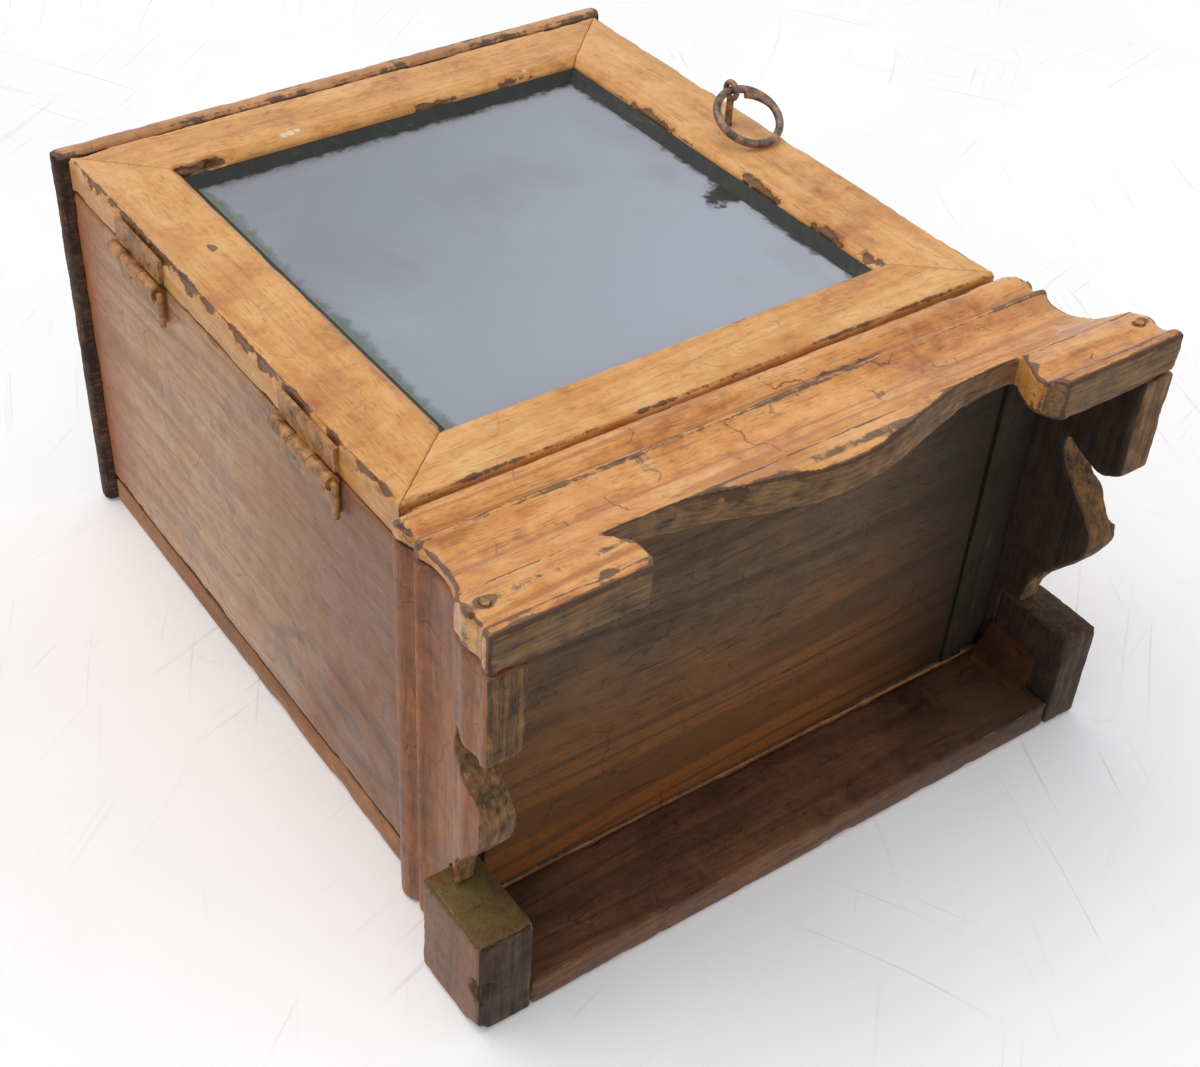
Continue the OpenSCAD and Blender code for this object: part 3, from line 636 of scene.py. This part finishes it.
PLINTH_CHIPS = [(-44, DOOR_Y - 9, 17, 13, 3, 1.4), (-60, DOOR_Y - 6, 55, 16, 1.6, 0.9),
    (40, DOOR_Y - 2, 57, 24, 1.4, 0.8), (-138, DOOR_Y - 6, 60, 8, 8, 1.6), (-130, DOOR_Y - 3, 70, 9, 4, 1.2),
    (136, DOOR_Y - 6, 64, 8, 7, 2.2), (138, DOOR_Y - 10, 48, 7, 9, 1.8), (-98, DOOR_Y - 12, 6, 9, 3, 1.0),
    (96, DOOR_Y - 12, 30, 5, 6, 1.2), (-120, DOOR_Y - 2, 71, 14, 2.2, 0.6),
    (-98, DOOR_Y - 2, 70, 13, 1.4, 0.5), (-126, DOOR_Y - 8, 50, 7, 2.6, 0.8),
    (62, DOOR_Y - 2, 71, 12, 1.8, 0.6), (104, DOOR_Y - 2, 70, 9, 2.6, 0.8), (133, DOOR_Y - 3, 68, 7, 4, 1.2)]
FOOT_CHIPS = [(-142, DOOR_Y + 150, 1, 6, 5, 2.0), (-121, DOOR_Y + 172, 20, 5, 9, 1.6),
    (-142, DOOR_Y + 172, 3, 5, 5, 2.0)]

door = {"slot": "door_wood", "body": "door", "keep": off_the_mitres, "raw": bare_door_back}
worn("door_top_rail", 0.75, rail_pine, soft=0.9, chips=RAIL_CHIPS, seed=1.0, **door)
worn("door_bottom_rail", 0.75, rail_pine, soft=0.8, seed=2.0, **door)
worn("door_hinge_stile", 0.75, stile_pine, chips=STILE_CHIPS, seed=3.0, **door)
worn("door_closing_stile", 0.75, stile_pine, chips=CLOSING_CHIPS, seed=4.0, **door)

worn("plinth_front", 0.85, plinth_front_pine, "plinth_wood", "case", soft=1.7, dents=0.3,
    raw=bare_and_shaded_plinth_front, chips=PLINTH_CHIPS, seed=5.0)
side = {"slot": "plinth_wood", "body": "case", "soft": 1.5, "dents": 0.25, "raw": bare_and_shaded_plinth_side}
worn("plinth_side_left", 0.8, plinth_side_pine, seed=6.0, **side)
worn("plinth_side_right", 0.8, plinth_side_pine, seed=7.0, **side)

board = {"body": "case", "soft": 0.8, "dents": 0.25, "passes": 6}
worn("side_panel_left", 1.3, panel_pine, "case_wood", raw=bare_and_shaded_panel, seed=8.0, **board)
worn("side_panel_right", 1.5, panel_pine, "case_wood", raw=bare_and_shaded_panel, seed=9.0, **board)
worn("back_board", 1.6, back_pine, "back_wood", raw=bare_back, seed=10.0, **board)
worn("top_board", 1.2, top_pine, "top_wood", "case", soft=0.8, raw=bare_top, seed=11.0, passes=8)
worn("floor_board", 1.3, under_pine, "inner_wood", "case", soft=0.4, seed=12.0, passes=4)
worn("back_rail", 0.9, back_rail_pine, "inner_wood", "case", soft=0.9, seed=13.0)

foot = {"slot": "foot_wood", "body": "case", "soft": 2.2, "dents": 0.35}
worn("rear_foot_left", 0.7, foot_pine, raw=bare_left_foot, chips=FOOT_CHIPS, seed=14.0,
    damp=(moss_pine, looks_forward), **foot)
worn("rear_foot_right", 0.7, foot_pine, raw=bare_and_shaded_right_foot, seed=15.0, **foot)


# Driven nails
def nail_head_tree(material):
    """Geometry nodes that set one hammered, domed nail head on every point."""
    tree = bpy.data.node_groups.new("driven_nails", "GeometryNodeTree")
    face = tree.interface
    face.new_socket("Geometry", in_out="INPUT", socket_type="NodeSocketGeometry")
    inputs = {"Radius": "Float", "Rise": "Float", "Dents": "Float", "Tilt": "Vector", "Seed": "Int"}
    for label, kind in inputs.items():
        face.new_socket(label, in_out="INPUT", socket_type="NodeSocket" + kind)
    face.new_socket("Geometry", in_out="OUTPUT", socket_type="NodeSocketGeometry")
    add = partial(add_node, tree)
    given = add("NodeGroupInput", out="Geometry").node.outputs
    ball = add("GeometryNodeMeshUVSphere", 18, 8, 1.0)
    size = add("CombineXYZ", given["Radius"], given["Radius"], given["Rise"])
    head = add("GeometryNodeTransform", ball, Scale=size)
    small = add("FunctionNodeRandomValue", 0.9, 1.0, Seed=given["Seed"], data_type="FLOAT")
    heads = add("GeometryNodeInstanceOnPoints", Points=given["Geometry"], Instance=head,
        Rotation=given["Tilt"], Scale=small)
    heads = add("GeometryNodeRealizeInstances", heads)
    # Hammer marks about 1 mm wide, always inwards
    marks = add("TexNoise", add("GeometryNodeInputPosition"), Scale=900.0, Detail=2.0)
    depth = add("Math", add("Math", marks, given["Dents"], operation="MULTIPLY"), -1.0, operation="MULTIPLY")
    push = add("VectorMath", add("GeometryNodeInputNormal"), Scale=depth, operation="SCALE")
    heads = add("GeometryNodeSetPosition", heads, Offset=push)
    heads = add("GeometryNodeSetShadeSmooth", heads)
    heads = add("GeometryNodeSetMaterial", heads, Material=material)
    add("NodeGroupOutput", heads)
    return tree


def nail_places(node, axis, sign):
    """Outer middle of each nail head and the head's radius, read from the CAD nails themselves."""
    # Corners of one nail lie nearer together than this
    near = 6 * MM
    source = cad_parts[node]
    corners = np.array([source.matrix_world @ v.co for v in source.data.vertices])
    others = [i for i in range(3) if i != axis]
    groups = []
    for corner in corners:
        home = next((g for g in groups if np.linalg.norm(g[0][others] - corner[others]) < near), None)
        if home is None:
            groups.append([corner])
        else:
            home.append(corner)
    places = []
    for group in groups:
        low, high = np.min(group, axis=0), np.max(group, axis=0)
        middle = (low + high) / 2
        middle[axis] = (high if sign > 0 else low)[axis]
        places.append(middle)
    return places, (high - low)[others[0]] / 2


def driven_nails(node, axis, sign, rise, tilt, seed, material, body):
    """Domed heads in place of one node's CAD nails. rise is how far a head stands out, in mm."""
    places, radius = nail_places(node, axis, sign)
    for place in places:
        place[axis] -= sign * rise * MM
    mesh = bpy.data.meshes.new(node)
    mesh.from_pydata(places, [], [])
    work = bpy.data.objects.new("work", mesh)
    scene.collection.objects.link(work)
    maker = work.modifiers.new("nails", "NODES")
    maker.node_group = nail_head_tree(material)
    dents = rise * 0.25 * MM
    sizes = {"Radius": float(radius), "Rise": rise * MM, "Dents": dents, "Tilt": tilt, "Seed": seed}
    for socket in maker.node_group.interface.items_tree:
        if socket.in_out == "INPUT" and socket.name in sizes:
            maker[socket.identifier] = sizes[socket.name]
    heads = bpy.data.meshes.new_from_object(work.evaluated_get(bpy.context.evaluated_depsgraph_get()))
    bpy.data.objects.remove(work)
    piece = bpy.data.objects.new(node + "_heads", heads)
    scene.collection.objects.link(piece)
    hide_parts(node)
    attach(piece, body)


SIDEWAYS = (0.0, math.radians(90), 0.0)
BACKWARDS = (math.radians(90), 0.0, 0.0)
driven_nails("back_nails", 1, 1, 0.8, BACKWARDS, 3, nail_iron, "case")
driven_nails("hinge_nails_case", 0, -1, 0.7, SIDEWAYS, 5, hinge_iron, "case")
driven_nails("hinge_nails_door", 0, -1, 0.7, SIDEWAYS, 8, hinge_iron, "door")

# CAD pieces whose shape stays take a finish
FINISHES = {
    shaded_strip_pine: ("floor_strip_front", "floor_strip_rear"),
    under_pine: ("front_sill",),
    block_pine: ("foot_block",),
    bead_pine: ("glazing_beads", "door_latch_block"),
    putty: ("glazing_putty",),
    window_glass: ("glass_pane",),
    nail_iron: ("bead_pins",),
    hinge_iron: ("plinth_nails", "hinge_leaf_case_upper", "hinge_leaf_case_lower", "hinge_leaf_door_upper",
        "hinge_leaf_door_lower", "hinge_pin_upper", "hinge_pin_lower"),
    ring_iron: ("ring_eye", "ring_pull")}
for finish, names in FINISHES.items():
    for name in names:
        for material_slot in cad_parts[name].material_slots:
            material_slot.material = finish

# Stage: the painted board it lies on, and a floor for when it stands
# Each scratch direction: how fine it is across, how fine along, and its turn
SCRATCHES = ((420, 5, 0.5), (380, 4, -0.9), (460, 6, 1.9), (350, 7, 2.7))


def stage_plane(name, corners, lying):
    """A pale painted surface that is seen from one side only and blocks no light."""
    mesh = bpy.data.meshes.new(name)
    mesh.from_pydata(corners, [], [(0, 1, 2, 3)])
    plane = bpy.data.objects.new(name, mesh)
    scene.collection.objects.link(plane)
    material, add, coord = new_finish(name)
    stain = cloud(add, coord, 455, detail=6)
    grit = cloud(add, coord, 16.7, detail=6, rough=0.7, warp=0.2)
    pale = [srgb(code) for code in ("#F3F2F2", "#FAFAFB", "#FDFEFF")]
    base = three_tones(add, stain, (0.35, 0.5, 0.65), pale)
    base = add("Mix", add("MapRange", grit, 0.62, 0.74, 0.0, 0.2, **SMOOTH), base, srgb("#C9BFB4"), **COLOUR)
    # Hair-fine scratches, bent a little, in patches
    for index, (across, length, turn) in enumerate(SCRATCHES):
        broad = add("Mapping", coord, Location=(index, 0, 0), Scale=(5, 5, 5))
        sway = add("TexNoise", broad, Scale=1.0, Detail=1.0, out="Color")
        sway = add("VectorMath", sway, (0.035, 0.035, 0.035), operation="MULTIPLY")
        bent = add("VectorMath", coord, sway, operation="ADD")
        turned = add("Mapping", bent, Rotation=(0, turn, 0) if lying else (0, 0, turn))
        drawn = add("Mapping", turned, Location=(index * 3.7, index, index), Scale=(across, length, length))
        line = add("TexNoise", drawn, Scale=1.0, Detail=3.0, Roughness=0.6)
        here = cloud(add, coord, 143, detail=3, warp=0.3, shift=(index * 2.1, 1, index))
        mark = add("Math", add("MapRange", line, 0.645, 0.70, 0.0, 0.24, **SMOOTH),
            add("MapRange", here, 0.46, 0.62, **SMOOTH), **TIMES)
        base = add("Mix", mark, base, srgb("#96745A"), **COLOUR)
    paint = add("BsdfPrincipled", Base_Color=base, Roughness=0.55, Emission_Color=srgb("#FFFFFF"),
        Emission_Strength=0.07)
    behind = add("NewGeometry", out="Backfacing")
    add("OutputMaterial", add("MixShader", behind, paint, add("BsdfTransparent")))
    mesh.materials.append(material)
    plane.visible_shadow = False
    plane.visible_diffuse = False
    plane.visible_glossy = False


# Half the stage's width and its gap below the case, in metres
FAR = 4
GAP = 0.0004
ground = ((-FAR, -FAR), (FAR, -FAR), (FAR, FAR), (-FAR, FAR))
stage_plane("lying_floor", [(x, cad_hi[1] + GAP, z) for x, z in ground], True)
stage_plane("standing_floor", [(x, y, -GAP) for x, y in ground], False)

# Studio: an even pale surround, seen white by the camera, gloss and glass, and two broad soft lamps
world = bpy.data.worlds.new("world")
scene.world = world
world.use_nodes = True
world.node_tree.nodes.clear()
add = partial(add_node, world.node_tree)
fill = add("Background", srgb("#EEF2F8"), 0.68)
seen = add("Background", srgb("#F2F5F8"), 1.0)
rays = add("LightPath").node.outputs
shown = add("Math", rays["Is Camera Ray"], rays["Is Glossy Ray"], operation="MAXIMUM")
shown = add("Math", shown, rays["Is Transmission Ray"], operation="MAXIMUM")
add("OutputWorld", add("MixShader", shown, fill, seen))


def soft_sun(name, towards, strength, spread, colour):
    """A broad soft lamp that shines towards a direction. spread is its width in degrees."""
    data = bpy.data.lights.new(name, "SUN")
    data.energy = strength
    data.color = srgb(colour)[:3]
    data.angle = math.radians(spread)
    lamp = bpy.data.objects.new(name, data)
    scene.collection.objects.link(lamp)
    direction = Vector(towards).normalized()
    lamp.rotation_euler = direction.to_track_quat("-Z", "Y").to_euler()
    lamp.location = -direction * 2


soft_sun("key", (0.26, 0.92, -0.28), 1.35, 55, "#FFFAF2")
soft_sun("low_fill", (0.25, 0.35, 0.9), 0.22, 60, "#F4F6FF")
